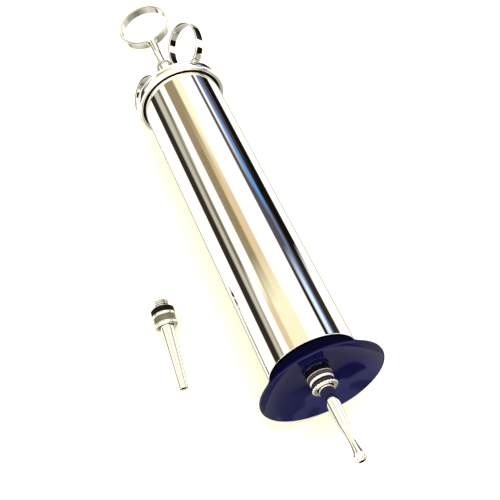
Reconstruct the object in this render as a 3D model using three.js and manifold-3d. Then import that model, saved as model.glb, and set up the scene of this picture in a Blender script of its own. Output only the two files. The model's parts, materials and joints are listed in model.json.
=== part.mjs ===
// Three-ring piston syringe with a splash shield and two blunt screw-in nozzles.
//
// Units are millimetres. Every turned piece is drawn in the syringe's own frame: +X runs along
// the barrel from the thumb ring to the nozzle, and x = 0 is the barrel's front edge. The whole
// syringe is then tipped so that it lies on its shield rim and its cap bead, as it does on a table.
// A spare nozzle lies on the same table beside the barrel.

import * as THREE from 'three';
import Module from 'manifold-3d';
import { mergeVertices } from 'three/addons/utils/BufferGeometryUtils.js';

const wasm = await Module();
wasm.setup();

// ---- driving dimensions ------------------------------------------------------------------

const GAP = 0.3;                    // joint line kept between touching pieces

const BARREL_RADIUS = 18;
const BARREL_WALL = 0.9;
const BARREL_REAR = -150.9;
const BARREL_BORE = BARREL_RADIUS - BARREL_WALL;

const CAP_FRONT = -148.8;
const CAP_BEAD_RADIUS = 21;
const CAP_BEAD_LENGTH = 5;
const CAP_RIM_RADIUS = 19.4;
const CAP_NECK_RADIUS = 4.4;
const CAP_NECK_END = -172.6;
const CAP_SKIRT_BORE = 19.2;

const ROD_RADIUS = 1.65;
const ROD_BORE = ROD_RADIUS + GAP;
const ROD_REAR = -193.1;
const ROD_FRONT = -4.2;

const GLAND_BORE = 3.2;
const GLAND_FLOOR = -165.2;

const FINGER_RING_RADIUS = 10.3;    // across the barrel's axis
const FINGER_RING_STRETCH = 1.24;   // along the axis, as the rings are slightly oval
const FINGER_RING_THICKNESS = 1.1;
const FINGER_RING_WIDTH = 3.8;
const FINGER_RING_X = -169.9;
const FINGER_RING_OFFSET = 16.3;    // ring centre from the barrel's axis
const FINGER_RING_ROLL = 38.7;      // degrees that the ring pair is rolled from level

const THUMB_RING_RADIUS = 12.4;
const THUMB_RING_THICKNESS = 1.5;
const THUMB_RING_WIDTH = 4.2;
const THUMB_RING_X = -205.8;

const PISTON_FACE = -7.7;           // front of the piston's front disc, plunger pushed home
const PISTON_DISC_RADIUS = 15.5;
const PISTON_DISC_THICKNESS = 1.5;
const CUP_RADIUS = 16.8;
const CUP_BASE = 1.6;
const CUP_LIP = 3.5;
const SPACER_LENGTH = 4;

const SHIELD_RADIUS = 25.4;
const SHIELD_FRONT = 9.1;
const SHIELD_BASE_RADIUS = 17.4;
const SHIELD_THICKNESS = 1.2;
const HUB_FRONT = 3.1;

const SOCKET_RADIUS = 4.2;
const SOCKET_BORE = 3.65;
const STUB_RADIUS = SOCKET_BORE - GAP;
const STUB_LENGTH = 6.1;

const COLLAR_RADIUS = 5.35;
const SPARE_COLLAR_RADIUS = 5;
const COLLAR_LENGTH = 6;
const COLLAR_GROOVE_RADIUS = 4.6;
const TUBE_BASE_RADIUS = 3.1;
const TUBE_WAIST_RADIUS = 1.5;      // just behind the ball end
const OLIVE_RADIUS = 2.6;
const NOZZLE_REACH = 42.6;          // tip of the mounted nozzle
const WASHER_RADIUS = 5.05;
const WASHER_THICKNESS = 1.8;

const SPARE_LENGTH = 40.7;
const SPARE_BASE_RADIUS = 2.9;
const SPARE_END_RADIUS = 1.95;
const SPARE_THREAD_X = -66.5;       // thread end of the spare nozzle, beside the barrel
const SPARE_THREAD_Y = -46.9;
const SPARE_HEADING = -7.3;         // degrees from the barrel's direction

const WIDE = 48;                    // facets round a large piece
const HIDDEN = 32;                  // facets round a large piece inside the barrel
const FINE = 20;                    // facets round a small piece

// ---- materials ---------------------------------------------------------------------------

function material(color, roughness, metalness) {
  return new THREE.MeshStandardMaterial({ color, roughness, metalness });
}

const chrome = () => material(0xe8e4d8, 0.06, 1);
const nickel = () => material(0xd8d4c4, 0.14, 1);
const brass = () => material(0xc9a35a, 0.25, 1);
const navy = () => material(0x14144a, 0.12, 0);
const rubber = () => material(0x141414, 0.7, 0);
const fibre = () => material(0x9a7a55, 0.85, 0);

// ---- shape helpers -----------------------------------------------------------------------

/** Points of an elliptical arc in the (radius, x) plane; angles in degrees. */
function arc(radiusCentre, xCentre, radiusReach, xReach, from, to, steps) {
  const points = [];
  for (let i = 0; i <= steps; i += 1) {
    const angle = THREE.MathUtils.degToRad(from + (to - from) * i / steps);
    points.push([radiusCentre + radiusReach * Math.cos(angle), xCentre + xReach * Math.sin(angle)]);
  }
  return points;
}

/** Points of a quadratic curve in the (radius, x) plane, without its start. */
function sweep(start, control, end, steps) {
  const curve = new THREE.QuadraticBezierCurve(
    new THREE.Vector2(...start), new THREE.Vector2(...control), new THREE.Vector2(...end));
  return curve.getPoints(steps).slice(1).map((p) => [p.x, p.y]);
}

/** Body of revolution about X from a closed outline of [radius, x], run from rear to front outside. */
function turned(outline, facets = FINE) {
  const points = [...outline, outline[0]].map(([radius, x]) => new THREE.Vector2(radius, x));
  const geometry = new THREE.LatheGeometry(points, facets, -Math.PI / facets);
  return geometry.rotateZ(-Math.PI / 2);
}

/** Plain ring or washer between two stations. */
function ring(inner, outer, rear, front, facets = FINE) {
  return turned([[inner, rear], [outer, rear], [outer, front], [inner, front]], facets);
}

/** Band with broken edges, standing on its hole axis +Z. */
function band(outer, thickness, width, facets) {
  const inner = outer - thickness;
  const half = width / 2;
  const edge = 0.3;
  const outline = [
    [inner + edge, -half], [outer - edge, -half], [outer, edge - half], [outer, half - edge],
    [outer - edge, half], [inner + edge, half], [inner, half - edge], [inner, edge - half],
  ];
  return turned(outline, facets).rotateY(-Math.PI / 2);
}

/** Hexagon nut across X with a round hole. */
function hexNut(acrossFlats, hole, rear, front) {
  const corner = acrossFlats / Math.sqrt(3);
  const outline = new THREE.Shape();
  for (let i = 0; i < 6; i += 1) {
    const angle = i * Math.PI / 3;
    const move = i === 0 ? 'moveTo' : 'lineTo';
    outline[move](corner * Math.cos(angle), corner * Math.sin(angle));
  }
  outline.closePath();
  outline.holes.push(new THREE.Path().absarc(0, 0, hole, 0, Math.PI * 2, true));
  const geometry = new THREE.ExtrudeGeometry(outline, {
    depth: front - rear,
    bevelEnabled: false,
    curveSegments: FINE / 2,
  });
  return geometry.rotateY(Math.PI / 2).translate(rear, 0, 0);
}

function toSolid(geometry) {
  const bare = geometry.clone();
  bare.deleteAttribute('normal');
  bare.deleteAttribute('uv');
  const merged = mergeVertices(bare, 1e-4);
  return new wasm.Manifold(new wasm.Mesh({
    numProp: 3,
    vertProperties: new Float32Array(merged.attributes.position.array),
    triVerts: new Uint32Array(merged.index.array),
  }));
}

function toGeometry(solid) {
  const mesh = solid.getMesh();
  const geometry = new THREE.BufferGeometry();
  geometry.setAttribute('position', new THREE.BufferAttribute(mesh.vertProperties, 3));
  geometry.setIndex(new THREE.BufferAttribute(mesh.triVerts, 1));
  geometry.computeVertexNormals();
  return geometry;
}

/** The pieces joined into one, less everything in the cutter. */
function joinedAndTrimmed(pieces, cutter) {
  const whole = pieces.map(toSolid).reduce((sum, piece) => sum.add(piece));
  return toGeometry(whole.subtract(toSolid(cutter)));
}

const syringe = new THREE.Group();
const spareNozzle = new THREE.Group();

function add(group, name, geometry, surface) {
  const mesh = new THREE.Mesh(geometry, surface);
  mesh.name = name;
  group.add(mesh);
  return mesh;
}

// ---- barrel ------------------------------------------------------------------------------

const SOCKET_FLANGE = 6.5;
const PLATE_REAR = -1.9;
const PLATE_THICKNESS = 1.6;
const SOCKET_REAR = -3.4;

add(syringe, 'barrel_tube', ring(BARREL_BORE, BARREL_RADIUS, BARREL_REAR, 0, WIDE), chrome());

add(syringe, 'front_plate',
  ring(SOCKET_RADIUS + GAP, BARREL_BORE - GAP, PLATE_REAR, PLATE_REAR + PLATE_THICKNESS, HIDDEN),
  nickel());

add(syringe, 'nozzle_socket', turned([
  [1.5, SOCKET_REAR], [SOCKET_FLANGE, SOCKET_REAR], [SOCKET_FLANGE, PLATE_REAR - GAP],
  [SOCKET_RADIUS, PLATE_REAR - GAP], [SOCKET_RADIUS, HUB_FRONT - 0.1], [SOCKET_BORE, HUB_FRONT - 0.1],
  [SOCKET_BORE, -1.2], [1.5, -1.2],
]), nickel());

add(syringe, 'cap_thread_ring',
  ring(BARREL_RADIUS + GAP, CAP_SKIRT_BORE - GAP, BARREL_REAR, BARREL_REAR + 1.2, WIDE), nickel());

// ---- rear cap with its gland -------------------------------------------------------------

const CAP_SEAT = -152.2;
const beadHalf = CAP_BEAD_LENGTH / 2;
const beadOutline = arc(CAP_RIM_RADIUS, CAP_FRONT - beadHalf, CAP_BEAD_RADIUS - CAP_RIM_RADIUS,
  beadHalf, -90, 90, 6);
const capDome = [
  [CAP_NECK_RADIUS, CAP_NECK_END], [CAP_NECK_RADIUS, -164.4],
  ...sweep([CAP_NECK_RADIUS, -164.4], [CAP_NECK_RADIUS, -160.6], [8.4, -159.2], 3),
  ...sweep([8.4, -159.2], [15.5, -156.9], [CAP_RIM_RADIUS, CAP_FRONT - CAP_BEAD_LENGTH], 4).slice(0, -1),
  ...beadOutline,
];

add(syringe, 'rear_cap', turned([
  [GLAND_BORE, CAP_NECK_END], ...capDome, [CAP_SKIRT_BORE, CAP_FRONT], [CAP_SKIRT_BORE, CAP_SEAT],
  [15.5, CAP_SEAT], [7, -156.5], [ROD_BORE, -156.5], [ROD_BORE, GLAND_FLOOR], [GLAND_BORE, GLAND_FLOOR],
], WIDE), chrome());

add(syringe, 'cap_gasket',
  ring(15.8, CAP_SKIRT_BORE - GAP, CAP_SEAT + GAP, BARREL_REAR - GAP, HIDDEN), rubber());

const GLAND_RING_RADIUS = GLAND_BORE - GAP;
const PACKING_LENGTH = 2.7;
const packingFront = GLAND_FLOOR - GAP;
const followerFront = packingFront - PACKING_LENGTH - GAP;
const FOLLOWER_THICKNESS = 0.6;
const shankFront = followerFront - FOLLOWER_THICKNESS - GAP;

add(syringe, 'gland_packing',
  ring(ROD_BORE, GLAND_RING_RADIUS, packingFront - PACKING_LENGTH, packingFront), fibre());

add(syringe, 'gland_follower',
  ring(ROD_BORE, GLAND_RING_RADIUS, followerFront - FOLLOWER_THICKNESS, followerFront), brass());

const GLAND_HEAD_RADIUS = 3.7;
const GLAND_HEAD_END = -176.9;
const headFront = CAP_NECK_END - GAP;

add(syringe, 'gland_nut', turned([
  [ROD_BORE, GLAND_HEAD_END],
  ...arc(ROD_BORE, headFront - 1.5, GLAND_HEAD_RADIUS - ROD_BORE, headFront - 1.5 - GLAND_HEAD_END, -75, 0, 4),
  [GLAND_HEAD_RADIUS, headFront], [GLAND_RING_RADIUS, headFront], [GLAND_RING_RADIUS, shankFront],
  [ROD_BORE, shankFront],
]), nickel());

// ---- finger rings, soldered on the cap ---------------------------------------------------

const capClearance = turned([[0, CAP_NECK_END], ...capDome, [0, CAP_FRONT]], WIDE)
  .translate(-1.3 * GAP, 0, 0);

function fingerRing(side) {
  const hoop = band(FINGER_RING_RADIUS, FINGER_RING_THICKNESS, FINGER_RING_WIDTH, 36)
    .scale(FINGER_RING_STRETCH, 1, 1)
    .translate(FINGER_RING_X, side * FINGER_RING_OFFSET, 0);
  const lug = new THREE.BoxGeometry(5, 5.2, FINGER_RING_WIDTH)
    .translate(FINGER_RING_X + FINGER_RING_RADIUS * FINGER_RING_STRETCH + 1, side * FINGER_RING_OFFSET, 0);
  const roll = THREE.MathUtils.degToRad(FINGER_RING_ROLL);
  return joinedAndTrimmed([hoop.rotateX(roll), lug.rotateX(roll)], capClearance);
}

add(syringe, 'finger_ring_upper', fingerRing(1), chrome());
add(syringe, 'finger_ring_lower', fingerRing(-1), chrome());

// ---- plunger: rod, thumb ring and piston stack -------------------------------------------

const frontCupRear = PISTON_FACE - PISTON_DISC_THICKNESS - GAP - CUP_BASE;
const spacerRear = frontCupRear - GAP - SPACER_LENGTH;
const rearCupFront = spacerRear - GAP;
const rearDiscFront = rearCupFront - CUP_BASE - GAP;
const rearDiscRear = rearDiscFront - PISTON_DISC_THICKNESS;
const SHOULDER_RADIUS = 3.4;
const SHOULDER_LENGTH = 2.6;
const shoulderFront = rearDiscRear - GAP;

add(syringe, 'piston_front_disc',
  ring(ROD_BORE, PISTON_DISC_RADIUS, PISTON_FACE - PISTON_DISC_THICKNESS, PISTON_FACE, HIDDEN), brass());

/** Cup seal: a flat base with a lip round its edge; way is +1 for a lip towards the nozzle. */
function cupSeal(way) {
  const outline = [
    [ROD_BORE, 0], [CUP_RADIUS, 0], [CUP_RADIUS, CUP_BASE + CUP_LIP],
    [CUP_RADIUS - 0.8, CUP_BASE + CUP_LIP], [CUP_RADIUS - 1, CUP_BASE], [ROD_BORE, CUP_BASE],
  ];
  const geometry = turned(outline, HIDDEN);
  return way > 0 ? geometry : geometry.rotateZ(Math.PI);
}

add(syringe, 'piston_front_cup', cupSeal(1).translate(frontCupRear, 0, 0), rubber());

add(syringe, 'piston_spacer', ring(ROD_BORE, 8, spacerRear, spacerRear + SPACER_LENGTH), brass());

add(syringe, 'piston_rear_cup', cupSeal(-1).translate(rearCupFront, 0, 0), rubber());

add(syringe, 'piston_rear_disc',
  ring(ROD_BORE, PISTON_DISC_RADIUS, rearDiscRear, rearDiscFront, HIDDEN), brass());

add(syringe, 'rod_nut', hexNut(7, ROD_BORE, PISTON_FACE + GAP, ROD_FRONT - 0.6), nickel());

const FERRULE_FRONT = -185.3;
const TENON_RADIUS = 1.2;

add(syringe, 'plunger_rod', turned([
  [0, ROD_REAR], [TENON_RADIUS, ROD_REAR], [TENON_RADIUS, FERRULE_FRONT + GAP],
  [ROD_RADIUS, FERRULE_FRONT + GAP], [ROD_RADIUS, shoulderFront - SHOULDER_LENGTH],
  [SHOULDER_RADIUS, shoulderFront - SHOULDER_LENGTH], [SHOULDER_RADIUS, shoulderFront],
  [ROD_RADIUS, shoulderFront], [ROD_RADIUS, ROD_FRONT], [0, ROD_FRONT],
]), chrome());

add(syringe, 'thumb_ferrule', turned([
  [TENON_RADIUS + GAP, ROD_REAR], [2.7, ROD_REAR], [2.35, ROD_REAR + 1],
  [1.95, FERRULE_FRONT - 0.2], [1.75, FERRULE_FRONT], [TENON_RADIUS + GAP, FERRULE_FRONT],
]), chrome());

add(syringe, 'thumb_ring',
  band(THUMB_RING_RADIUS, THUMB_RING_THICKNESS, THUMB_RING_WIDTH, 36).translate(THUMB_RING_X, 0, 0),
  chrome());

// ---- splash shield -----------------------------------------------------------------------

const shieldFloor = GAP + SHIELD_THICKNESS;
const HUB_BORE = SOCKET_RADIUS + GAP;

add(syringe, 'splash_shield', turned([
  [HUB_BORE, GAP], [SHIELD_BASE_RADIUS, GAP],
  ...sweep([SHIELD_BASE_RADIUS, GAP], [20.4, 4.4], [SHIELD_RADIUS, SHIELD_FRONT - 0.4], 4),
  [SHIELD_RADIUS - 0.4, SHIELD_FRONT],
  ...sweep([SHIELD_RADIUS - 0.8, SHIELD_FRONT], [18.5, shieldFloor], [9, shieldFloor], 8),
  [5.5, shieldFloor], [5.3, HUB_FRONT], [HUB_BORE, HUB_FRONT],
], WIDE), navy());

// ---- nozzles -----------------------------------------------------------------------------

/** Threaded stub and grooved finger collar; x = 0 is the collar's rear face. */
function nozzleCollar(radius, tubeRadius) {
  const ringWidth = 1.7;
  const edge = 0.3;
  const recess = tubeRadius + GAP;
  return turned([
    [1.2, -STUB_LENGTH], [STUB_RADIUS, -STUB_LENGTH], [STUB_RADIUS, 0], [radius - edge, 0],
    [radius, edge], [radius, ringWidth - edge], [COLLAR_GROOVE_RADIUS, ringWidth + edge],
    [COLLAR_GROOVE_RADIUS, COLLAR_LENGTH - ringWidth - edge], [radius, COLLAR_LENGTH - ringWidth + edge],
    [radius, COLLAR_LENGTH - edge], [radius - edge, COLLAR_LENGTH],
    [recess, COLLAR_LENGTH], [recess, 1.4], [1.2, 1.4],
  ], 24);
}

/** Soft washer under the collar. */
function nozzleWasher() {
  return ring(SOCKET_BORE, WASHER_RADIUS, -GAP - WASHER_THICKNESS, -GAP, 24);
}

const TUBE_REAR = 1.7;
const BORE_RADIUS = 1;
const COLLAR_X = HUB_FRONT + GAP + WASHER_THICKNESS + GAP;

const mountedNozzle = new THREE.Group();
mountedNozzle.position.x = COLLAR_X;
syringe.add(mountedNozzle);

const tip = NOZZLE_REACH - COLLAR_X;
const oliveX = tip - 2.5;

add(mountedNozzle, 'nozzle_washer', nozzleWasher(), rubber());
add(mountedNozzle, 'nozzle_collar', nozzleCollar(COLLAR_RADIUS, TUBE_BASE_RADIUS), nickel());
add(mountedNozzle, 'nozzle_tube', turned([
  [BORE_RADIUS, TUBE_REAR], [TUBE_BASE_RADIUS, TUBE_REAR], [TUBE_BASE_RADIUS, COLLAR_LENGTH],
  [TUBE_BASE_RADIUS - 0.15, COLLAR_LENGTH + 7.5], [TUBE_WAIST_RADIUS, oliveX - 5.2],
  ...sweep([TUBE_WAIST_RADIUS, oliveX - 5.2], [TUBE_WAIST_RADIUS, oliveX - 3.4], [2.15, oliveX - 2], 3),
  ...arc(0, oliveX, OLIVE_RADIUS, 2.8, -32, 58, 6),
  [BORE_RADIUS, tip],
]), chrome());

add(spareNozzle, 'spare_nozzle_washer', nozzleWasher(), rubber());
add(spareNozzle, 'spare_nozzle_collar', nozzleCollar(SPARE_COLLAR_RADIUS, SPARE_BASE_RADIUS), nickel());
const spareTip = SPARE_LENGTH - STUB_LENGTH;
add(spareNozzle, 'spare_nozzle_tube', turned([
  [BORE_RADIUS, TUBE_REAR], [SPARE_BASE_RADIUS, TUBE_REAR], [SPARE_BASE_RADIUS, COLLAR_LENGTH],
  [SPARE_END_RADIUS, spareTip - 0.3], [SPARE_END_RADIUS - 0.3, spareTip], [BORE_RADIUS + 0.2, spareTip],
  [BORE_RADIUS + 0.2, spareTip - 4], [BORE_RADIUS, spareTip - 4.5],
]), chrome());

// ---- lie both on the table ---------------------------------------------------------------

/** Sets a group on z = 0 by its lowest point. */
function layDown(group) {
  group.updateMatrixWorld(true);
  group.position.z -= new THREE.Box3().setFromObject(group, true).min.z;
}

const restLength = SHIELD_FRONT - (CAP_FRONT - beadHalf);
syringe.rotation.y = -Math.asin((SHIELD_RADIUS - CAP_BEAD_RADIUS) / restLength);
layDown(syringe);

const spareContact = spareTip - COLLAR_LENGTH;
spareNozzle.rotation.order = 'ZYX';
spareNozzle.rotation.z = THREE.MathUtils.degToRad(SPARE_HEADING);
spareNozzle.rotation.y = Math.asin((SPARE_COLLAR_RADIUS - SPARE_END_RADIUS) / spareContact);
spareNozzle.position.set(SPARE_THREAD_X + STUB_LENGTH, SPARE_THREAD_Y - 0.6, 0);
layDown(spareNozzle);

const group = new THREE.Group();
group.add(syringe, spareNozzle);

// The origin is the middle of the footprint, on the table.
group.updateMatrixWorld(true);
const footprint = new THREE.Box3().setFromObject(group, true).getCenter(new THREE.Vector3());
syringe.position.x -= footprint.x;
syringe.position.y -= footprint.y;
spareNozzle.position.x -= footprint.x;
spareNozzle.position.y -= footprint.y;

export default group;
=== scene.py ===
"""Looks of the three-ring piston syringe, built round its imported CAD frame.

Turned pieces are drawn as outlines of (x, radius) in millimetres in the syringe's own frame: +X runs
along the barrel towards the nozzle and x = 0 is the barrel's front edge. Two matrices put them in the
row frame, one for the syringe and one for the spare nozzle.
"""

import json
import math

import bmesh
import bpy
from mathutils import Matrix, Vector


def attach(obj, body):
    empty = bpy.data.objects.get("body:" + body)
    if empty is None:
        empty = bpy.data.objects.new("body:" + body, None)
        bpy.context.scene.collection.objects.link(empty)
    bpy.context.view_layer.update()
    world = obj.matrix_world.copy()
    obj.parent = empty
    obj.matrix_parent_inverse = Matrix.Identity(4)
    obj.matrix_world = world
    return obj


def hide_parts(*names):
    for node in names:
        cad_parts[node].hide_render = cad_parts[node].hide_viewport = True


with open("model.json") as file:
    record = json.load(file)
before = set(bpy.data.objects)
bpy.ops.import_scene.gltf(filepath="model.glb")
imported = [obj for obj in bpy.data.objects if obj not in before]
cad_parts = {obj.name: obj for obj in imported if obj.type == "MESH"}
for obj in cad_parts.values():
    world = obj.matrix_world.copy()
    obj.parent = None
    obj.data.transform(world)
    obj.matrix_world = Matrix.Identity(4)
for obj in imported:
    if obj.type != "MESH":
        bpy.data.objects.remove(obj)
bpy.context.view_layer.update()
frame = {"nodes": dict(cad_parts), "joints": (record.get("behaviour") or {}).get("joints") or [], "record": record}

MM = 0.001
GAP = 0.3                           # clearance between neighbouring pieces, in millimetres

# ---- where things are --------------------------------------------------------------------

joints = {joint["name"]: joint for joint in frame["joints"]}
record = frame["record"]


def frame_matrix(origin, x_axis, y_axis):
    """Matrix from millimetres in a turned piece's frame to metres in the row frame."""
    x_axis = x_axis.normalized()
    z_axis = x_axis.cross(y_axis).normalized()
    y_axis = z_axis.cross(x_axis)
    turn = Matrix((x_axis, y_axis, z_axis)).transposed().to_4x4()
    return Matrix.Translation(origin) @ turn @ Matrix.Scale(MM, 4)


SYRINGE = frame_matrix(Vector(joints["shield_turn"]["pos_m"]), Vector(joints["shield_turn"]["axis"]),
                       Vector((0, 1, 0)))

STUB_LENGTH = 6.1
THREAD_END_OFFSET = 2.3             # the mount's point, above the spare nozzle's axis
thread_end = next(m for m in record["mounts"] if m["name"] == "spare_nozzle_thread_end")
spare_axis = -Vector(thread_end["axis"])
spare_side = Vector((0, 0, 1)).cross(spare_axis).normalized()
spare_up = spare_axis.cross(spare_side)
spare_origin = (Vector(thread_end["pos_m"]) - spare_up * THREAD_END_OFFSET * MM
                + spare_axis * STUB_LENGTH * MM)
SPARE = frame_matrix(spare_origin, spare_axis, spare_side)

COLLAR_X = 5.5                      # where the fitted nozzle's collar starts
FITTED = SYRINGE @ Matrix.Translation((COLLAR_X, 0, 0))

# ---- outlines ----------------------------------------------------------------------------


def rounded(corners, steps=5):
    """Outline through corners of (x, radius, fillet), each fillet drawn as an arc."""
    points = []
    count = len(corners)
    for i, (x, r, fillet) in enumerate(corners):
        here = Vector((x, r))
        before = Vector(corners[i - 1][:2]) - here
        after = Vector(corners[(i + 1) % count][:2]) - here
        if fillet == 0:
            points.append((x, r))
            continue
        half = before.angle(after) / 2
        reach = min(fillet / math.tan(half), before.length * 0.49, after.length * 0.49)
        start = here + before.normalized() * reach
        end = here + after.normalized() * reach
        for k in range(steps + 1):
            t = k / steps
            point = start * (1 - t) ** 2 + here * 2 * t * (1 - t) + end * t ** 2
            points.append((point.x, point.y))
    return points


def arc(x, r, x_reach, r_reach, start, end, steps):
    """Elliptical arc of (x, radius) about a centre; degrees from +radius towards +x."""
    points = []
    for i in range(steps + 1):
        angle = math.radians(start + (end - start) * i / steps)
        points.append((x + x_reach * math.sin(angle), r + r_reach * math.cos(angle)))
    return points


def curve(start, control, end, steps):
    """Quadratic curve of (x, radius), without its start."""
    points = []
    for i in range(1, steps + 1):
        t = i / steps
        points.append(tuple(a * (1 - t) ** 2 + 2 * b * t * (1 - t) + c * t * t
                            for a, b, c in zip(start, control, end)))
    return points


# ---- mesh helpers ------------------------------------------------------------------------


def finish_mesh(name, bm, matrix, sharp=38):
    """A smooth-shaded object from a bmesh in millimetres, with its vertices in the row frame."""
    bmesh.ops.transform(bm, matrix=matrix, verts=bm.verts)
    bmesh.ops.recalc_face_normals(bm, faces=bm.faces)
    mesh = bpy.data.meshes.new(name)
    bm.to_mesh(mesh)
    bm.free()
    mesh.shade_smooth()
    mesh.set_sharp_from_angle(angle=math.radians(sharp))
    piece = bpy.data.objects.new(name, mesh)
    bpy.context.scene.collection.objects.link(piece)
    return piece


def revolved(bm, outline, segments=192, shape=None):
    """Adds a body of revolution about X from a closed outline; shape(x, angle, r) may vary r."""
    rings = []
    for x, r in outline:
        if r < 1e-6:
            rings.append([bm.verts.new((x, 0, 0))] * segments)
            continue
        ring = []
        for k in range(segments):
            angle = 2 * math.pi * k / segments
            radius = shape(x, angle, r) if shape else r
            ring.append(bm.verts.new((x, radius * math.cos(angle), radius * math.sin(angle))))
        rings.append(ring)
    for i, ring in enumerate(rings):
        after = rings[(i + 1) % len(rings)]
        for k in range(segments):
            n = (k + 1) % segments
            corners = list(dict.fromkeys((ring[k], after[k], after[n], ring[n])))
            if len(corners) > 2:
                bm.faces.new(corners)


def turned(name, outline, matrix=SYRINGE, segments=192, shape=None, sharp=38):
    """A body of revolution as an object of its own."""
    bm = bmesh.new()
    revolved(bm, outline, segments, shape)
    return finish_mesh(name, bm, matrix, sharp)


def lofted(bm, sections):
    """Adds a closed skin through equal loops of points."""
    loops = [[bm.verts.new(p) for p in section] for section in sections]
    for low, high in zip(loops, loops[1:]):
        for k in range(len(low)):
            n = (k + 1) % len(low)
            bm.faces.new((low[k], low[n], high[n], high[k]))
    bm.faces.new(loops[0])
    bm.faces.new(loops[-1])


def band_outline(outer, thickness, width, crown=0.02):
    """Section of a finger band: (across, radius), barely crowned outside, edges broken."""
    half = width / 2
    edge = thickness * 0.22
    inner = outer - thickness
    flat = half - edge
    outside = [(flat * t, outer - crown * t * t) for t in (-1, -0.93, -0.5, 0, 0.5, 0.93, 1)]
    return [
        *outside, (half - edge * 0.3, outer - crown - edge * 0.3), (half, outer - crown - edge),
        (half, inner + edge), (half - edge * 0.3, inner + edge * 0.3), (flat, inner),
        (flat * 0.93, inner), (-flat * 0.93, inner),
        (-flat, inner), (edge * 0.3 - half, inner + edge * 0.3), (-half, inner + edge),
        (-half, outer - crown - edge), (edge * 0.3 - half, outer - crown - edge * 0.3),
    ]


# ---- materials ---------------------------------------------------------------------------


class Nodes:
    """Short calls for building a material's nodes."""

    def __init__(self, name):
        self.material = bpy.data.materials.new(name)
        self.material.use_nodes = True
        self.tree = self.material.node_tree
        self.shader = self.tree.nodes["Principled BSDF"]
        self.place = self.add("ShaderNodeTexCoord").outputs["Object"]

    def add(self, kind, **settings):
        """A new node with its settings."""
        node = self.tree.nodes.new(kind)
        for key, value in settings.items():
            setattr(node, key, value)
        return node

    def link(self, source, target):
        self.tree.links.new(source, target)

    def stretched(self, scale):
        """The object's coordinates, scaled unevenly."""
        node = self.add("ShaderNodeMapping")
        node.inputs["Scale"].default_value = scale
        self.link(self.place, node.inputs["Vector"])
        return node.outputs["Vector"]

    def noise(self, scale, detail=3.0, rough=0.5, vector=None):
        """Noise in the object's own space."""
        node = self.add("ShaderNodeTexNoise")
        node.inputs["Scale"].default_value = scale
        node.inputs["Detail"].default_value = detail
        node.inputs["Roughness"].default_value = rough
        self.link(vector or self.place, node.inputs["Vector"])
        return node.outputs["Fac"]

    def ranged(self, value, low, high, from_low=0.3, from_high=0.7):
        """A value mapped from one range to another."""
        node = self.add("ShaderNodeMapRange")
        for key, number in zip(("From Min", "From Max", "To Min", "To Max"),
                               (from_low, from_high, low, high)):
            node.inputs[key].default_value = number
        self.link(value, node.inputs["Value"])
        return node.outputs["Result"]

    def mixed(self, fac, first, second):
        """A colour between two, by a factor."""
        node = self.add("ShaderNodeMix", data_type="RGBA")
        node.inputs["A"].default_value = (*first, 1)
        node.inputs["B"].default_value = (*second, 1)
        self.link(fac, node.inputs["Factor"])
        return node.outputs["Result"]

    def bump(self, height, distance, strength=1.0, under=None):
        """Normals bent by a height, over an earlier bump if one is given."""
        node = self.add("ShaderNodeBump")
        node.inputs["Distance"].default_value = distance
        node.inputs["Strength"].default_value = strength
        self.link(height, node.inputs["Height"])
        if under:
            self.link(under, node.inputs["Normal"])
        return node.outputs["Normal"]


def metal(name, light, dark, smooth, smudged, wave=4e-6):
    """Plated or polished metal: tone drift, finger smudges, fine handling scratches, faint waviness."""
    n = Nodes(name)
    n.shader.inputs["Metallic"].default_value = 1.0
    n.link(n.mixed(n.ranged(n.noise(22), 0.0, 1.0), light, dark), n.shader.inputs["Base Color"])
    smudge = n.ranged(n.noise(38, 5, 0.62), 0.0, 1.0, 0.46, 0.72)
    hair = n.ranged(n.noise(1, 6, 0.7, n.stretched((60, 2600, 2600))), 0.0, 0.35, 0.55, 0.75)
    grime = n.add("ShaderNodeMath", operation="MAXIMUM")
    n.link(smudge, grime.inputs[0])
    n.link(hair, grime.inputs[1])
    n.link(n.ranged(grime.outputs[0], smooth, smudged, 0.0, 1.0), n.shader.inputs["Roughness"])
    sway = n.bump(n.noise(48, 2), wave)
    hairline = n.bump(n.noise(1, 4, 0.6, n.stretched((90, 3400, 3400))), 1.2e-6, 0.25, sway)
    n.link(hairline, n.shader.inputs["Normal"])
    return n.material


def plastic(name, light, dark, smooth, dull, gloss, sheen=(1, 1, 1)):
    """Glossy moulded plastic: slight tone drift, soft polish marks and a very fine skin."""
    n = Nodes(name)
    n.shader.inputs["IOR"].default_value = 1.5
    n.shader.inputs["Specular IOR Level"].default_value = gloss
    n.shader.inputs["Specular Tint"].default_value = (*sheen, 1)
    n.link(n.mixed(n.ranged(n.noise(30, 4), 0.0, 1.0), light, dark), n.shader.inputs["Base Color"])
    n.link(n.ranged(n.noise(90, 6, 0.7), smooth, dull), n.shader.inputs["Roughness"])
    flow = n.bump(n.noise(35, 2), 1.2e-5)
    n.link(n.bump(n.noise(2600, 3), 1.5e-6, 0.5, flow), n.shader.inputs["Normal"])
    return n.material


def rubber(name, light, dark, rough_low, rough_high):
    """Matt black rubber or grime with a fine grain."""
    n = Nodes(name)
    n.shader.inputs["Specular IOR Level"].default_value = 0.05
    n.link(n.mixed(n.ranged(n.noise(220, 5), 0.0, 1.0), light, dark), n.shader.inputs["Base Color"])
    n.link(n.ranged(n.noise(900, 4), rough_low, rough_high), n.shader.inputs["Roughness"])
    n.link(n.bump(n.noise(2400, 5, 0.65), 3e-5, 0.6), n.shader.inputs["Normal"])
    return n.material


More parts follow.
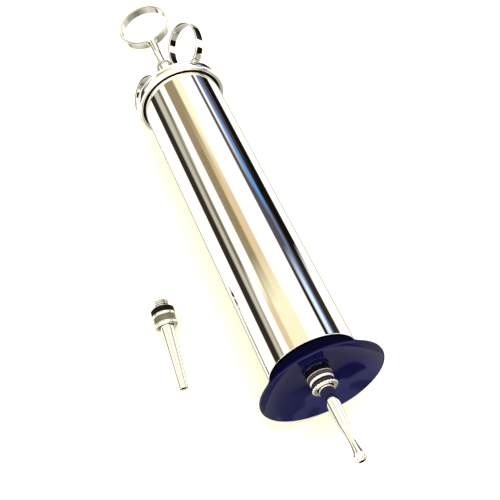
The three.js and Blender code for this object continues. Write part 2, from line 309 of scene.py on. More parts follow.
def packing(name, light, dark):
    """Waxed cotton: braided strands across the ring."""
    n = Nodes(name)
    strand = n.add("ShaderNodeTexWave", wave_type="BANDS", bands_direction="DIAGONAL")
    strand.inputs["Scale"].default_value = 900
    strand.inputs["Distortion"].default_value = 2.5
    n.link(n.place, strand.inputs["Vector"])
    n.link(n.mixed(strand.outputs["Fac"], light, dark), n.shader.inputs["Base Color"])
    n.link(n.ranged(n.noise(700), 0.6, 0.9), n.shader.inputs["Roughness"])
    n.link(n.bump(strand.outputs["Fac"], 8e-5), n.shader.inputs["Normal"])
    return n.material


CHROME = metal("chrome_plate", (0.95, 0.93, 0.87), (0.90, 0.87, 0.79), 0.02, 0.07)
NICKEL = metal("nickel_plate", (0.93, 0.90, 0.82), (0.84, 0.80, 0.70), 0.05, 0.16)
ETCHED = metal("stamped_mark", (0.44, 0.38, 0.18), (0.30, 0.25, 0.12), 0.3, 0.5)
BRASS = metal("turned_brass", (0.80, 0.60, 0.28), (0.62, 0.45, 0.20), 0.18, 0.4)
DULL = metal("dull_plate", (0.62, 0.60, 0.50), (0.48, 0.46, 0.37), 0.08, 0.22)
# Also darkens the spare collar's groove and its recess, where the darkness is partly painted shade.
OLIVE = metal("olive_knurl", (0.52, 0.50, 0.34), (0.12, 0.11, 0.07), 0.12, 0.3)
WORN = metal("worn_plate", (0.80, 0.78, 0.69), (0.66, 0.64, 0.56), 0.05, 0.16)
SOLDER = metal("solder_bead", (0.86, 0.84, 0.78), (0.66, 0.64, 0.58), 0.12, 0.3, 2e-5)
# Fitted collar's groove and recess: grime colour, darkened further as painted shade.
GRIME_AND_SHADE = metal("grimy_knurl_with_painted_shade", (0.16, 0.13, 0.10), (0.05, 0.04, 0.035), 0.12, 0.3)
# Near-black for the cap's inside, the ring under the cap's rim and the nozzles' mouths: tarnish with painted shade
# in these hollows and gaps.
TARNISH_AND_SHADE = rubber("tarnished_bore_and_painted_shade", (0.012, 0.011, 0.009), (0.005, 0.005, 0.004), 0.6, 0.85)
NAVY = plastic("navy_plastic", (0.005, 0.005, 0.046), (0.004, 0.004, 0.038), 0.09, 0.15, 0.36,
               (0.50, 0.52, 1.0))
# Darker, unglossed copy of the navy plastic for the shield's back: painted shade.
NAVY_SHADED_BACK = plastic("navy_plastic_back_painted_shade", (0.002, 0.002, 0.012), (0.001, 0.001, 0.008), 0.4, 0.6, 0.0)
RUBBER = rubber("black_rubber", (0.008, 0.007, 0.006), (0.004, 0.004, 0.004), 0.45, 0.75)
KNURL = rubber("grimy_belt", (0.20, 0.14, 0.09), (0.04, 0.03, 0.022), 0.3, 0.5)
PACKING = packing("waxed_cotton", (0.62, 0.52, 0.36), (0.40, 0.32, 0.20))


def dress(piece, material, slot, body, *nodes):
    """Gives a new piece its material and body, and hides the CAD nodes it stands for; slot is not used."""
    piece.data.materials.append(material)
    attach(piece, body)
    if nodes:
        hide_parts(*nodes)
    return piece


# ---- barrel ------------------------------------------------------------------------------

BARREL_RADIUS = 17.97
BARREL_BORE = 17.12
BARREL_REAR = -150.9


def make_barrel():
    """Plated tube with broken edges; the points near its ends keep the shading flat between them."""
    outline = rounded([
        (BARREL_REAR, BARREL_BORE, 0.1), (0, BARREL_BORE, 0.2), (0, BARREL_RADIUS, 0.2),
        (-0.4, BARREL_RADIUS, 0), (-1, BARREL_RADIUS, 0), (BARREL_REAR + 0.8, BARREL_RADIUS, 0),
        (BARREL_REAR + 0.4, BARREL_RADIUS, 0), (BARREL_REAR, BARREL_RADIUS, 0.2),
    ])
    piece = turned("barrel_skin", outline, segments=256)
    dress(piece, CHROME, "chrome_shell", "barrel", "barrel_tube")


TICK_FIRST = -102.0
TICK_PITCH = 1.27
TICK_COUNT = 41
TICK_HALF_WIDTH = 0.22
TICK_LENGTH = 1.8
LONG_TICK_LENGTH = 2.9
TICK_ROLL = 94                      # degrees round the barrel where the ticks start
TICK_STEPS = 8
TICK_RISE = 0.012
TICK_DEPTH = 0.06


def make_scale():
    """Generic graduation: a row of stamped ticks along the barrel, every fifth one longer."""
    level = BARREL_RADIUS + TICK_RISE
    bm = bmesh.new()

    def row(x, angles, radius):
        return [bm.verts.new((x, radius * math.cos(a), radius * math.sin(a))) for a in angles]

    for i in range(TICK_COUNT):
        length = LONG_TICK_LENGTH if i % 5 == 0 else TICK_LENGTH
        x = TICK_FIRST + TICK_PITCH * i
        angles = [math.radians(TICK_ROLL) + (k / TICK_STEPS) * length / level for k in range(TICK_STEPS + 1)]
        left = row(x - TICK_HALF_WIDTH, angles, level)
        right = row(x + TICK_HALF_WIDTH, angles, level)
        left_low = row(x - TICK_HALF_WIDTH, angles, level - TICK_DEPTH)
        right_low = row(x + TICK_HALF_WIDTH, angles, level - TICK_DEPTH)
        for k in range(TICK_STEPS):
            bm.faces.new((left[k], right[k], right[k + 1], left[k + 1]))
            bm.faces.new((left_low[k], left_low[k + 1], right_low[k + 1], right_low[k]))
            bm.faces.new((left[k], left[k + 1], left_low[k + 1], left_low[k]))
            bm.faces.new((right[k], right_low[k], right_low[k + 1], right[k + 1]))
        bm.faces.new((left[0], left_low[0], right_low[0], right[0]))
        bm.faces.new((left[-1], right[-1], right_low[-1], left_low[-1]))
    piece = finish_mesh("graduation_ticks", bm, SYRINGE)
    dress(piece, ETCHED, "nickel_fittings", "barrel")


THREAD_RING_INNER = 18.02
THREAD_RING_OUTER = 18.4
THREAD_RING_LENGTH = 1.2


def make_thread_ring():
    """Ring on the barrel's rear edge that the cap screws on, nearly hidden under the cap's rim. Its near-black is
    painted shade: the shadow line between the cap's rim and the barrel.
    """
    rear, front = BARREL_REAR, BARREL_REAR + THREAD_RING_LENGTH
    outline = rounded([
        (rear, THREAD_RING_INNER, 0), (front, THREAD_RING_INNER, 0.05), (front, THREAD_RING_OUTER, 0.15),
        (rear, THREAD_RING_OUTER, 0.1),
    ])
    piece = turned("cap_thread_ring_skin", outline, segments=192)
    dress(piece, TARNISH_AND_SHADE, "nickel_fittings", "barrel", "cap_thread_ring")


# ---- rear cap and gland ------------------------------------------------------------------

CAP_FRONT = -148.8
CAP_REAR_EDGE = CAP_FRONT - 5
CAP_RIM = 19.4
CAP_BEAD = 20.95
ROD_HOLE = 1.95                     # radius of the hole for the rod, in the cap and the gland nut
NECK_RADIUS = 4.4
NECK_END = -172.6
NECK_ROOT = -164.4
DOME_TOP = (-159.2, 8.4)            # where the neck's fillet meets the dome


def cap_outside():
    """The cap's outside from the neck's end to the front rim."""
    knee = curve((NECK_ROOT, NECK_RADIUS), (-160.6, NECK_RADIUS), DOME_TOP, 8)
    dome = curve(DOME_TOP, (-156.9, 15.5), (CAP_REAR_EDGE, CAP_RIM), 12)[:-1]
    bead = arc(CAP_FRONT - 2.5, CAP_RIM, 2.5, CAP_BEAD - CAP_RIM, -90, 66, 20)
    roll = arc(CAP_FRONT - 0.92, CAP_RIM - 0.05, 0.9, 0.72, 74, 180, 14)
    return [(NECK_END, NECK_RADIUS), (NECK_ROOT, NECK_RADIUS), *knee, *dome, *bead, *roll]


def make_cap():
    """Domed screw cap with its neck, plated outside; inside it is near-black, tarnish with painted shade."""
    inside = [
        (CAP_FRONT - 1.6, 18.63), (CAP_FRONT - 1.9, 19.2), (-152.2, 19.2), (-152.2, 15.5), (-156.5, 7),
        (-156.5, ROD_HOLE), (-165.2, ROD_HOLE), (-165.2, 3.2), (NECK_END, 3.2),
    ]
    piece = turned("cap_skin", [*cap_outside(), *inside], segments=256)
    dress(piece, CHROME, "chrome_shell", "cap", "rear_cap")
    piece.data.materials.append(TARNISH_AND_SHADE)
    shade_inside(piece, CAP_RIM - 0.05, -160, CAP_FRONT - 1.3)


def shade_inside(piece, radius, rear, front):
    """Painted shade with tarnish on the inside: faces of a turned piece that look at its axis, between two
    stations, take the second material.
    """
    back = SYRINGE.inverted()
    turn = back.to_3x3().normalized()
    for face in piece.data.polygons:
        place = back @ face.center
        look = turn @ face.normal
        across = Vector((0, place.y, place.z))
        if rear < place.x < front and across.length < radius and look.dot(across.normalized()) < -0.5:
            face.material_index = 1


def make_gland_nut():
    """Domed nut with a fine straight knurl round its side."""
    head_front, head_end = -172.9, -176.9
    side_rear = head_front - 1.5
    side_radius = 3.7
    knurl_count = 26
    knurl_depth = 0.14

    def knurl(x, angle, r):
        on_side = side_rear - 0.3 < x < head_front - 0.2 and r > 3.4
        return r - knurl_depth * (0.5 + 0.5 * math.cos(knurl_count * angle)) if on_side else r

    side = [(side_rear + 0.2 * i, side_radius) for i in range(1, 7)]
    dome = arc(side_rear, ROD_HOLE, side_rear - head_end, side_radius - ROD_HOLE, -75, 0, 10)
    outline = [
        (head_end, ROD_HOLE), *dome, *side, (head_front - 0.15, side_radius - 0.03),
        (head_front, side_radius - 0.2), (head_front, 2.9), (-169.7, 2.9), (-169.7, ROD_HOLE),
    ]
    piece = turned("gland_nut_skin", outline, segments=208, shape=knurl)
    dress(piece, DULL, "nickel_fittings", "gland", "gland_nut")


RING_ROLL = 38.7                    # degrees that the pair is turned round the barrel
RING_X = -169.9
RING_OFFSET = 16.3
RING_RADIUS = 10.3                  # across the barrel's axis
RING_STRETCH = 1.24                 # along it
RING_WIDTH = 3.8
RING_THICKNESS = 1.1
FOOT_SLOPE = 0.62                   # the dome's fall under a foot
FOOT_HEIGHT = 2.4
# A foot's sections as (height from the ring, half length along the syringe's radius, half width).
FOOT_SECTIONS = (
    (0.0, 2.2, 1.7), (0.5, 2.0, 1.68), (1.1, 2.1, 1.72), (1.8, 2.4, 1.8), (FOOT_HEIGHT, 2.9, 2.0),
)


def make_finger_ring(side, name, node):
    """Band ring on its flared foot, with the solder bead round the foot."""
    roll = Matrix.Rotation(math.radians(RING_ROLL), 4, "X")
    place = SYRINGE @ roll @ Matrix.Translation((RING_X, side * RING_OFFSET, 0))
    oval = Matrix.Diagonal((RING_STRETCH, 1, 1, 1))
    stand = Matrix.Rotation(-math.pi / 2, 4, "Y")
    outline = band_outline(RING_RADIUS, RING_THICKNESS, RING_WIDTH)
    piece = turned(name, outline, place @ oval @ stand, 144)
    dress(piece, CHROME, "chrome_shell", "cap", node)

    bm = bmesh.new()
    front = RING_RADIUS * RING_STRETCH - 0.8
    sections = []
    for reach, half_along, half_across in FOOT_SECTIONS:
        loop = []
        for k in range(32):
            angle = 2 * math.pi * k / 32
            across = math.copysign(abs(math.cos(angle)) ** 0.6, math.cos(angle))
            along = math.copysign(abs(math.sin(angle)) ** 0.6, math.sin(angle))
            y = half_along * along
            lean = FOOT_SLOPE * side * y * reach / FOOT_HEIGHT
            loop.append((front + reach + lean, y, half_across * across))
        sections.append(loop)
    lofted(bm, sections)
    foot = finish_mesh(name + "_foot", bm, place, 60)
    dress(foot, SOLDER, "chrome_shell", "cap")


# ---- plunger -----------------------------------------------------------------------------

ROD_RADIUS = 1.65
ROD_REAR = -193.1
FERRULE_FRONT = -185.3
TENON_RADIUS = 1.2
THUMB_X = -205.46


def make_rod():
    """Rod with the piston's shoulder, and a tenon at its rear end for the ferrule."""
    outline = rounded([
        (ROD_REAR, 0, 0), (ROD_REAR, TENON_RADIUS, 0.2), (FERRULE_FRONT, TENON_RADIUS, 0),
        (FERRULE_FRONT + 0.1, ROD_RADIUS, 0.1), (-22.2, ROD_RADIUS, 0.2), (-22.2, 3.4, 0.3),
        (-19.7, 3.4, 0.3), (-19.7, ROD_RADIUS, 0.1), (-4.2, ROD_RADIUS, 0.4), (-4.2, 0, 0),
    ])
    piece = turned("plunger_rod_skin", outline, segments=96)
    dress(piece, CHROME, "chrome_shell", "plunger", "plunger_rod")


def make_ferrule():
    """Long tapered ferrule between the rod and the thumb ring, flared where it is brazed on."""
    rear = ROD_REAR - GAP
    flare = curve((rear, 3.0), (rear + 0.5, 2.35), (rear + 1.6, 2.3), 10)
    outline = [
        (rear, 1.5), (rear, 3.0), *flare, (rear + 2.2, 2.27), (FERRULE_FRONT - 0.6, 1.92),
        (FERRULE_FRONT - 0.25, 1.9), (FERRULE_FRONT - 0.05, 1.82),
        (FERRULE_FRONT, 1.68), (FERRULE_FRONT, 1.5),
    ]
    piece = turned("thumb_ferrule_skin", outline, segments=96)
    dress(piece, CHROME, "chrome_shell", "plunger", "thumb_ferrule")


def make_thumb_ring():
    """Heavy band ring, its bore across the syringe."""
    stand = Matrix.Rotation(-math.pi / 2, 4, "Y")
    outline = band_outline(12.72, 1.5, 4.2, 0.08)
    piece = turned("thumb_ring_skin", outline, SYRINGE @ Matrix.Translation((THUMB_X, 0, 0)) @ stand, 192)
    dress(piece, WORN, "chrome_shell", "plunger", "thumb_ring")


# ---- splash shield -----------------------------------------------------------------------

SHIELD_RADIUS = 25.34
SHIELD_FRONT = 9.1
SHIELD_FLOOR = 1.5
HUB_FRONT = 3.1
HUB_BORE = 4.5


def make_shield():
    """Dished shield: flared back, hollow face, rolled rim and a short hub round the socket."""
    back = curve((GAP, 17.3), (4.4, 20.4), (SHIELD_FRONT - 0.75, SHIELD_RADIUS - 0.08), 22)
    rim = arc(SHIELD_FRONT - 0.42, SHIELD_RADIUS - 0.42, 0.42, 0.42, -40, 150, 10)
    face = curve(rim[-1], (SHIELD_FLOOR, 18.5), (SHIELD_FLOOR, 8), 36)
    hub = rounded([
        (SHIELD_FLOOR, 8, 0), (SHIELD_FLOOR, 5.5, 0.3), (HUB_FRONT, 5.25, 0.25),
        (HUB_FRONT, HUB_BORE, 0.15), (GAP, HUB_BORE, 0.15), (GAP, 17.3, 0),
    ])
    outline = [*back, *rim, *face, *hub[1:-1], (GAP, 17.0)]
    piece = turned("splash_shield_skin", outline, segments=256, sharp=50)
    dress(piece, NAVY, "navy_plastic", "shield", "splash_shield")
    piece.data.materials.append(NAVY_SHADED_BACK)
    forward = SYRINGE.to_3x3().normalized() @ Vector((1, 0, 0))
    # Faces looking back towards the barrel take the darker, unglossed copy: painted shade on the shield's back.
    for face in piece.data.polygons:
        if face.normal.dot(forward) < 0.1:
            face.material_index = 1


def make_socket():
    """Screw socket in the barrel's front plate, with its flange inside."""
    outline = rounded([
        (-3.4, 1.5, 0.1), (-1.2, 1.5, 0.1), (-1.2, 3.65, 0), (3.0, 3.65, 0.15), (3.0, 4.2, 0.15),
        (-2.2, 4.2, 0), (-2.2, 6.5, 0.2), (-3.4, 6.5, 0.2),
    ])
    piece = turned("nozzle_socket_skin", outline, segments=96)
    dress(piece, NICKEL, "nickel_fittings", "barrel", "nozzle_socket")


# ---- nozzles -----------------------------------------------------------------------------

COLLAR_LENGTH = 6.0
STUB_RADIUS = 3.35
THREAD_PITCH = 0.8


def thread(x, angle, r):
    """V thread on the stub, running out at both ends."""
    if not -STUB_LENGTH + 0.2 < x < -0.3 or r < 2.5:
        return r
    turn = (x / THREAD_PITCH + angle / (2 * math.pi)) % 1
    depth = 0.4 * abs(2 * turn - 1)
    fade = min(1, (x + STUB_LENGTH - 0.2) / 0.5, (-0.3 - x) / 0.5)
    return r - depth * fade


def make_collar(name, node, body, matrix, *, radius, recess, ring_knurl, knurl_count, rear, band, dirt_and_shade):
    """Threaded stub and a finger collar: a rear ring, a dark groove and a knurled front ring.

    rear is where the rear ring starts; band, if any, is where its crowned belt ends; the last argument is
    the groove's material, grime with painted shade, which also paints shade on the recess's inner wall;
    recess is the radius of the hole that the tube leaves by.
    """
    width = 1.7
    first = band if band else width
    second = COLLAR_LENGTH - width
    half = width / 2

    def grip(x, angle, r):
        if r < 4:
            return thread(x, angle, r) if x < rear else r
        if first < x < second:
            one = math.cos(40 * angle + 5.5 * x)
            two = math.cos(40 * angle - 5.5 * x)
            return r - 0.09 * (one * two)
        if r < radius - 0.75:
            return r
        if band and rear + 0.5 < x < rear + 2.0:
            return r - 0.1 * abs(math.cos(34 * angle + 1.5 * x))
        if x < second:
            return r - 0.3 * ring_knurl * (1 - abs(math.cos(knurl_count * angle)))
        scallop = abs(math.cos(knurl_count * angle / 2))
        return r - ring_knurl * (1 - scallop)

    stations = [-STUB_LENGTH + 0.05 * i for i in range(6, 119)]
    stub = [(x, STUB_RADIUS) for x in stations if x < rear]
    if band:
        rear_ring = [
            *arc(rear + 0.24, radius - 0.35, 0.24, 0.25, -85, 80, 8),
            *arc(rear + 1.2, 4.3, first - rear - 1.2, 0.9, -22, 82, 24),
        ]
    else:
        rear_ring = arc(half, radius - 0.6, half, 0.6, -88, 88, 12)
    front_ring = arc(COLLAR_LENGTH - half, radius - 0.6, half, 0.6, -88, 88, 12)
    length = second - first - 0.24
    groove = [(first + 0.12 + length * i / 18, 4.6) for i in range(19)]
    outline = [
        (-STUB_LENGTH, 1.2), (-STUB_LENGTH, 2.95), (-STUB_LENGTH + 0.2, STUB_RADIUS - 0.25), *stub,
        (rear, STUB_RADIUS), (rear, 4.2), (rear, radius - 0.9), *rear_ring,
        *groove, *front_ring, (COLLAR_LENGTH, radius - 0.9),
        (COLLAR_LENGTH, recess + 0.35), (COLLAR_LENGTH - 0.12, recess + 0.1), (COLLAR_LENGTH - 0.6, recess),
        (1.4, recess), (1.4, 1.2),
    ]
    piece = turned(name, outline, matrix, segments=272, shape=grip, sharp=55)
    dress(piece, NICKEL, "nickel_fittings", body, node)
    piece.data.materials.append(dirt_and_shade)
    piece.data.materials.append(KNURL)
    # Groove faces get the second material, grime with painted shade; the recess's inner wall gets it too, as
    # painted shade.
    back = matrix.inverted()
    for face in piece.data.polygons:
        place = back @ face.center
        outer = math.hypot(place.y, place.z)
        if first < place.x < second and outer > 4.2:
            face.material_index = 1
        elif band and rear + 0.5 < place.x < rear + 1.6 and outer > 4.6:
            face.material_index = 2
        elif outer < recess + 0.05 and place.x > 1.4:
            face.material_index = 1


def make_washer(name, node, body, matrix, front):
    """Black washer on the stub, behind the collar."""
    rear = -GAP - 1.8
    outline = rounded([(rear, 3.4, 0.1), (front, 3.4, 0.1), (front, 5.03, 0.3), (rear, 5.03, 0.3)])
    piece = turned(name, outline, matrix, segments=144)
    dress(piece, RUBBER, "black_rubber", body, node)


def make_ball_nozzle():
    """Tapering tube, waisted behind an olive-shaped end with a round outlet."""
    tip = 42.6 - COLLAR_X
    olive = tip - 2.5
    taper = curve((COLLAR_LENGTH, 3.0), (COLLAR_LENGTH + 6, 2.62), (olive - 15, 2.42), 14)
    waist = [
        *curve((olive - 15, 2.42), (olive - 13, 2.36), (olive - 11.2, 1.98), 12),
        *curve((olive - 11.2, 1.98), (olive - 9.4, 1.6), (olive - 7, 1.57), 12),
        *curve((olive - 7, 1.57), (olive - 4.4, 1.6), (olive - 0.73, 2.49), 20),
    ]
    ball = arc(olive, 0, 2.85, 2.58, -14.8, 61, 20)[1:]
    outline = [
        (1.7, 1.0), (1.7, 2.9), (COLLAR_LENGTH - 0.4, 3.02), (COLLAR_LENGTH, 3.0), *taper, *waist,
        *ball, (tip - 0.02, 1.2), (tip - 0.04, 1.13), (tip - 0.12, 1.09), (tip - 0.6, 1.05), (12, 1.0),
    ]
    piece = turned("ball_nozzle_skin", outline, FITTED, segments=144, sharp=60)
    dress(piece, CHROME, "chrome_shell", "nozzle", "nozzle_tube")
    make_bore("ball_nozzle_bore", "nozzle", FITTED, tip - 0.12, 1.04)


def make_straight_nozzle():
    """Straight taper with a plain open end."""
    tip = 40.7 - STUB_LENGTH
    outline = [
        (1.7, 1.0), (1.7, 2.7), (COLLAR_LENGTH - 0.4, 2.84), (COLLAR_LENGTH, 2.85),
        (COLLAR_LENGTH + 1, 2.82), (tip - 0.8, 1.935), (tip - 0.35, 1.92), (tip - 0.12, 1.88),
        (tip, 1.73), (tip, 1.36), (tip - 0.15, 1.22), (tip - 4, 1.2), (tip - 4.6, 1.0),
    ]
    piece = turned("straight_nozzle_skin", outline, SPARE, segments=144)
    dress(piece, CHROME, "chrome_shell", "spare_nozzle", "spare_nozzle_tube")
    make_bore("straight_nozzle_bore", "spare_nozzle", SPARE, tip - 0.3, 1.16)


def make_bore(name, body, matrix, mouth, radius):
    """Dark inside of a nozzle's mouth: tarnish with painted shade."""
    outline = [(mouth - 3, 0), (mouth - 3, radius), (mouth, radius), (mouth, radius - 0.04),
               (mouth - 2.4, radius - 0.05), (mouth - 2.4, 0)]
    piece = turned(name, outline, matrix, segments=64)
    dress(piece, TARNISH_AND_SHADE, "nickel_fittings", body)


# ---- CAD pieces that stay, inside the barrel and the gland --------------------------------


def dress_hidden_nodes():
    """Materials for the CAD pieces that nothing covers."""
    inside = {
        "front_plate": NICKEL, "cap_gasket": RUBBER, "gland_packing": PACKING, "gland_follower": BRASS,
        "piston_front_disc": BRASS, "piston_front_cup": RUBBER, "piston_spacer": BRASS,
        "piston_rear_cup": RUBBER, "piston_rear_disc": BRASS, "rod_nut": NICKEL,
    }
    for name, material in inside.items():
        node = frame["nodes"][name]
        node.data.materials.clear()
        node.data.materials.append(material)


# ---- stage: floor, reflection cards, light and camera -------------------------------------

CARD_RADIUS = 0.6
WHITE = (1.5, 1.5, 1.45)
BLACK = (0.008, 0.006, 0.004)
GREY = (0.62, 0.60, 0.52)
DUSK = (0.30, 0.29, 0.26)
CHARCOAL = (0.035, 0.027, 0.02)
OLIVE_BROWN = (0.20, 0.18, 0.10)
TAN = (0.36, 0.29, 0.17)
SAND = (0.85, 0.68, 0.42)
CREAM = (1.1, 1.05, 0.75)
SLATE = (0.10, 0.09, 0.11)
BLUE = (0.18, 0.27, 0.58)
BRIGHT_BLUE = (0.12, 0.40, 0.90)
SKY = (0.9, 1.1, 1.3)
CARD_EDGE = 4                       # degrees over which a card fades into the white around it


def cards(*placed):
    """Band list from cards of (first degree, last degree, colour) on white, with soft edges."""
    stops = []
    for number, (first, last, colour) in enumerate(placed):
        before = placed[number - 1][1] if number else first
        if first - before > 2 * CARD_EDGE:
            stops.append((before + CARD_EDGE, WHITE))
            stops.append((first - CARD_EDGE, WHITE))
        stops.append((first, colour))
        stops.append((last, colour))
    return tuple(stops)


# Reflected bands round the syringe's axis, in degrees from straight up towards +Y.
# The barrel's rear end, middle and front end each see their own cards.
BARREL_REAR_BANDS = cards(
    (-180, -150, GREY), (-85, -70, CHARCOAL), (-65, -55, GREY), (-50, -45, OLIVE_BROWN), (-25, 0, TAN),
    (5, 20, CREAM), (60, 65, SLATE), (75, 80, BLUE), (85, 90, SLATE), (95, 110, BLACK), (150, 180, GREY),
)
MIDDLE_CARDS = ((-180, -150, GREY), (-85, -70, CHARCOAL), (-65, -60, GREY), (-55, -50, OLIVE_BROWN),
                (-25, -10, TAN), (-5, 10, SAND))
BARREL_MIDDLE_BANDS = cards(
    *MIDDLE_CARDS, (60, 75, SLATE), (80, 80, BLUE), (85, 85, SLATE), (90, 110, BLACK), (150, 180, GREY),
)
BARREL_BLUE_BANDS = cards(
    *MIDDLE_CARDS, (60, 70, SLATE), (75, 80, BRIGHT_BLUE), (85, 110, BLACK), (150, 180, GREY),
)
BARREL_FRONT_BANDS = cards(
    (-180, -150, GREY), (-135, -130, SLATE), (-85, -70, CHARCOAL), (-65, -60, GREY), (-55, -55, TAN),
    (-35, -25, SAND), (-20, 15, CREAM), (60, 65, BLACK), (70, 75, SKY), (80, 80, BLUE),
    (85, 100, CHARCOAL), (150, 180, GREY),
)
# Seen by the nozzles, and by the rings and the cap's bead ahead of and behind the barrel's stretch.
NOZZLE_BANDS = (
    (-180, DUSK), (-158, GREY), (-130, (0.95, 0.95, 0.88)), (-95, (1.2, 1.2, 1.1)),
    (-90, (0.14, 0.13, 0.11)), (-68, (0.10, 0.09, 0.08)), (-62, WHITE), (-30, (1.1, 1.08, 0.90)),
    (10, (1.02, 1.0, 0.80)), (34, WHITE), (62, WHITE), (67, (0.50, 0.50, 0.52)),
    (78, (0.62, 0.62, 0.62)), (84, WHITE), (118, WHITE), (140, GREY), (180, DUSK),
)
PATCH_BANDS = (
    (-180, DUSK), (-150, GREY), (-120, WHITE), (84, WHITE), (85, BLACK), (98, BLACK), (99, WHITE),
    (118, WHITE), (128, GREY), (180, DUSK),
)
LEG_BANDS = (
    (-180, DUSK), (-150, GREY), (-120, WHITE), (-98, WHITE), (-92, DUSK), (-72, GREY), (-64, WHITE),
    (36, WHITE), (44, GREY), (62, (0.45, 0.45, 0.42)), (68, WHITE), (94, WHITE), (95, (0.12, 0.11, 0.10)),
    (98, (0.12, 0.11, 0.10)), (99, (0.48, 0.49, 0.42)), (150, (0.40, 0.41, 0.36)), (180, DUSK),
)
END_BANDS = (
    (-180, BLACK), (-128, BLACK), (-122, WHITE), (-98, WHITE), (-92, DUSK), (-72, GREY), (-64, WHITE),
    (36, WHITE), (44, GREY), (62, (0.45, 0.45, 0.42)), (68, WHITE), (94, WHITE), (99, (0.48, 0.49, 0.42)),
    (150, (0.40, 0.41, 0.36)), (180, BLACK),
)
REAR_BANDS = (
    (-180, GREY), (-130, GREY), (-100, (0.42, 0.40, 0.30)), (-70, (0.42, 0.40, 0.30)), (-62, WHITE),
    (-56, WHITE), (-50, (0.40, 0.38, 0.28)), (-24, (0.50, 0.47, 0.36)), (-18, WHITE), (66, WHITE),
    (70, (0.03, 0.025, 0.03)), (122, (0.02, 0.02, 0.02)), (126, WHITE), (130, GREY), (180, GREY),
)
# Stations along the barrel's line in metres, with the bands seen there.
STATIONS = (
    (-1.9, LEG_BANDS), (-0.97, LEG_BANDS), (-0.93, REAR_BANDS), (-0.78, REAR_BANDS),
    (-0.765, BARREL_REAR_BANDS), (-0.68, BARREL_REAR_BANDS), (-0.515, BARREL_BLUE_BANDS),
    (-0.47, BARREL_MIDDLE_BANDS), (-0.43, BARREL_MIDDLE_BANDS), (-0.36, BARREL_FRONT_BANDS),
    (-0.288, BARREL_FRONT_BANDS), (-0.28, NOZZLE_BANDS), (-0.01, NOZZLE_BANDS), (0.0, PATCH_BANDS),
    (0.33, PATCH_BANDS), (0.34, LEG_BANDS), (0.5, LEG_BANDS), (0.52, END_BANDS), (1.3, END_BANDS),
)
CARD_STEPS = 720


def tone(bands, degrees):
    """Colour of a band list at an angle."""
    for (low, first), (high, second) in zip(bands, bands[1:]):
        if low <= degrees <= high:
            t = (degrees - low) / (high - low)
            return tuple(a + (b - a) * t for a, b in zip(first, second)) + (1,)
    return (*bands[0][1], 1)


def glow(name):
    """A bare light-giving material."""
    material = bpy.data.materials.new(name)
    material.use_nodes = True
    tree = material.node_tree
    tree.nodes.clear()
    light = tree.nodes.new("ShaderNodeEmission")
    out = tree.nodes.new("ShaderNodeOutputMaterial")
    tree.links.new(light.outputs["Emission"], out.inputs["Surface"])
    return material, tree, light


def make_cards():
    """A sleeve of light and dark cards round the barrel, seen only in reflections."""
    bm = bmesh.new()
    layer = bm.loops.layers.float_color.new("card")
    rings = []
    for x, bands in STATIONS:
        ring = []
        for k in range(CARD_STEPS):
            degrees = 360 * k / CARD_STEPS - 180
            angle = math.radians(degrees)
            vert = bm.verts.new((x, CARD_RADIUS * math.sin(angle), CARD_RADIUS * math.cos(angle)))
            ring.append((vert, tone(bands, degrees)))
        rings.append(ring)
    for rear, front in zip(rings, rings[1:]):
        for k in range(CARD_STEPS):
            n = (k + 1) % CARD_STEPS
            corners = (rear[k], front[k], front[n], rear[n])
            face = bm.faces.new([vert for vert, _ in corners])
            for loop, (_, colour) in zip(face.loops, corners):
                loop[layer] = colour
    place = SYRINGE @ Matrix.Scale(1 / MM, 4)
    bmesh.ops.transform(bm, matrix=place, verts=bm.verts)
    mesh = bpy.data.meshes.new("reflection_cards")
    bm.to_mesh(mesh)
    bm.free()
    cards = bpy.data.objects.new("reflection_cards", mesh)
    bpy.context.scene.collection.objects.link(cards)
    material, tree, light = glow("card_light")
    colour = tree.nodes.new("ShaderNodeVertexColor")
    colour.layer_name = "card"
    tree.links.new(colour.outputs["Color"], light.inputs["Color"])
    mesh.materials.append(material)
    cards.visible_camera = False
    cards.visible_diffuse = False
    cards.visible_shadow = False
    cards.visible_transmission = False


FLOOR_SIZE = 6.0


def make_floor():
    """Plain pale floor just under the part; its cream tint is painted light, warm light thrown off the plated
    parts, which shows only in the shade near them.
    """
    bm = bmesh.new()
    bmesh.ops.create_grid(bm, x_segments=1, y_segments=1, size=FLOOR_SIZE)
    mesh = bpy.data.meshes.new("floor")
    bm.to_mesh(mesh)
    bm.free()
    floor = bpy.data.objects.new("floor", mesh)
    floor.location.z = -0.0001
    bpy.context.scene.collection.objects.link(floor)
    n = Nodes("pale_floor")
    n.link(n.mixed(n.noise(6, 2), (0.96, 0.95, 0.73), (0.94, 0.93, 0.70)), n.shader.inputs["Base Color"])
    n.shader.inputs["Roughness"].default_value = 0.9
    n.shader.inputs["Specular IOR Level"].default_value = 0.0
    mesh.materials.append(n.material)
    floor.visible_glossy = False


SOFTBOX_PLACE = (0.1, 0.45, 1.1)
SOFTBOX_SIZE = 0.9
SOFTBOX_POWER = 9
SKY_COLOUR = (1.0, 0.995, 0.975, 1)
SKY_STRENGTH = 1.55


def make_light():
    """Soft sky and one large softbox overhead."""
    world = bpy.data.worlds.new("studio")
    world.use_nodes = True
    background = world.node_tree.nodes["Background"]
    background.inputs["Color"].default_value = SKY_COLOUR
    background.inputs["Strength"].default_value = SKY_STRENGTH
    bpy.context.scene.world = world
    lamp = bpy.data.lights.new("softbox", "AREA")
    lamp.shape = "DISK"
    lamp.size = SOFTBOX_SIZE
    lamp.energy = SOFTBOX_POWER
    softbox = bpy.data.objects.new("softbox", lamp)
    softbox.location = SOFTBOX_PLACE
    softbox.rotation_euler = (Vector((0, 0, 0)) - softbox.location).to_track_quat("-Z", "Y").to_euler()
    softbox.visible_glossy = False
    bpy.context.scene.collection.objects.link(softbox)


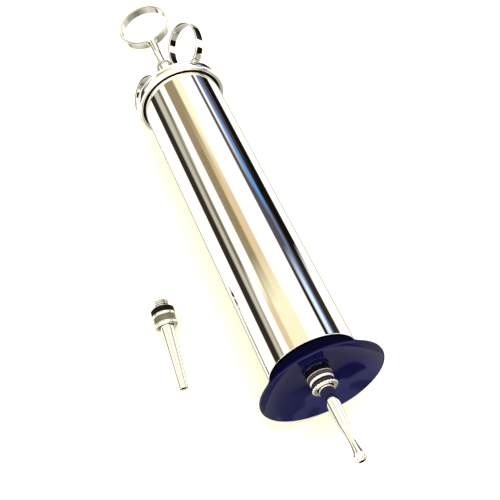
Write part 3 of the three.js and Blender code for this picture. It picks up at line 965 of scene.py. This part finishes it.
CAMERA_PLACE = (162.1, -2.3, 327.8)  # millimetres in the syringe's frame
CAMERA_PITCH = 56.04                 # degrees below the barrel's line, looking back along it
CAMERA_ROLL = 26.4                   # degrees
LENS = 69.55                         # millimetres, on a sensor 36 wide


def make_camera():
    """Camera over the nozzle's side, looking back and down at the whole syringe."""
    pitch = math.radians(CAMERA_PITCH)
    roll = math.radians(CAMERA_ROLL)
    ahead = Vector((-math.cos(pitch), 0, -math.sin(pitch)))
    level = Vector((0, 1, 0))
    down = ahead.cross(level)
    right = level * math.cos(roll) + down * math.sin(roll)
    up = right.cross(ahead)
    turn = SYRINGE.to_3x3().normalized() @ Matrix((right, up, -ahead)).transposed()
    lens = bpy.data.cameras.new("photo_camera")
    lens.lens = LENS
    lens.sensor_width = 36
    lens.clip_start = 0.01
    camera = bpy.data.objects.new("photo_camera", lens)
    camera.matrix_world = Matrix.Translation(SYRINGE @ Vector(CAMERA_PLACE)) @ turn.to_4x4()
    bpy.context.scene.collection.objects.link(camera)
    bpy.context.scene.camera = camera
    bpy.context.scene.view_settings.view_transform = "Standard"


make_barrel()
make_scale()
make_thread_ring()
make_cap()
make_gland_nut()
make_finger_ring(1, "finger_ring_upper_skin", "finger_ring_upper")
make_finger_ring(-1, "finger_ring_lower_skin", "finger_ring_lower")
make_rod()
make_ferrule()
make_thumb_ring()
make_shield()
make_socket()
make_collar("fitted_collar_skin", "nozzle_collar", "nozzle", FITTED, radius=5.33, recess=3.4,
            ring_knurl=0.32, knurl_count=22, rear=0.15, band=3.15, dirt_and_shade=GRIME_AND_SHADE)
make_collar("spare_collar_skin", "spare_nozzle_collar", "spare_nozzle", SPARE, radius=4.98, recess=3.2,
            ring_knurl=0.06, knurl_count=40, rear=0.0, band=0.0, dirt_and_shade=OLIVE)
make_washer("fitted_washer_skin", "nozzle_washer", "nozzle_seal", FITTED, 0.0)
make_washer("spare_washer_skin", "spare_nozzle_washer", "spare_nozzle", SPARE, -0.05)
make_ball_nozzle()
make_straight_nozzle()
dress_hidden_nodes()
make_cards()
make_floor()
make_light()
make_camera()
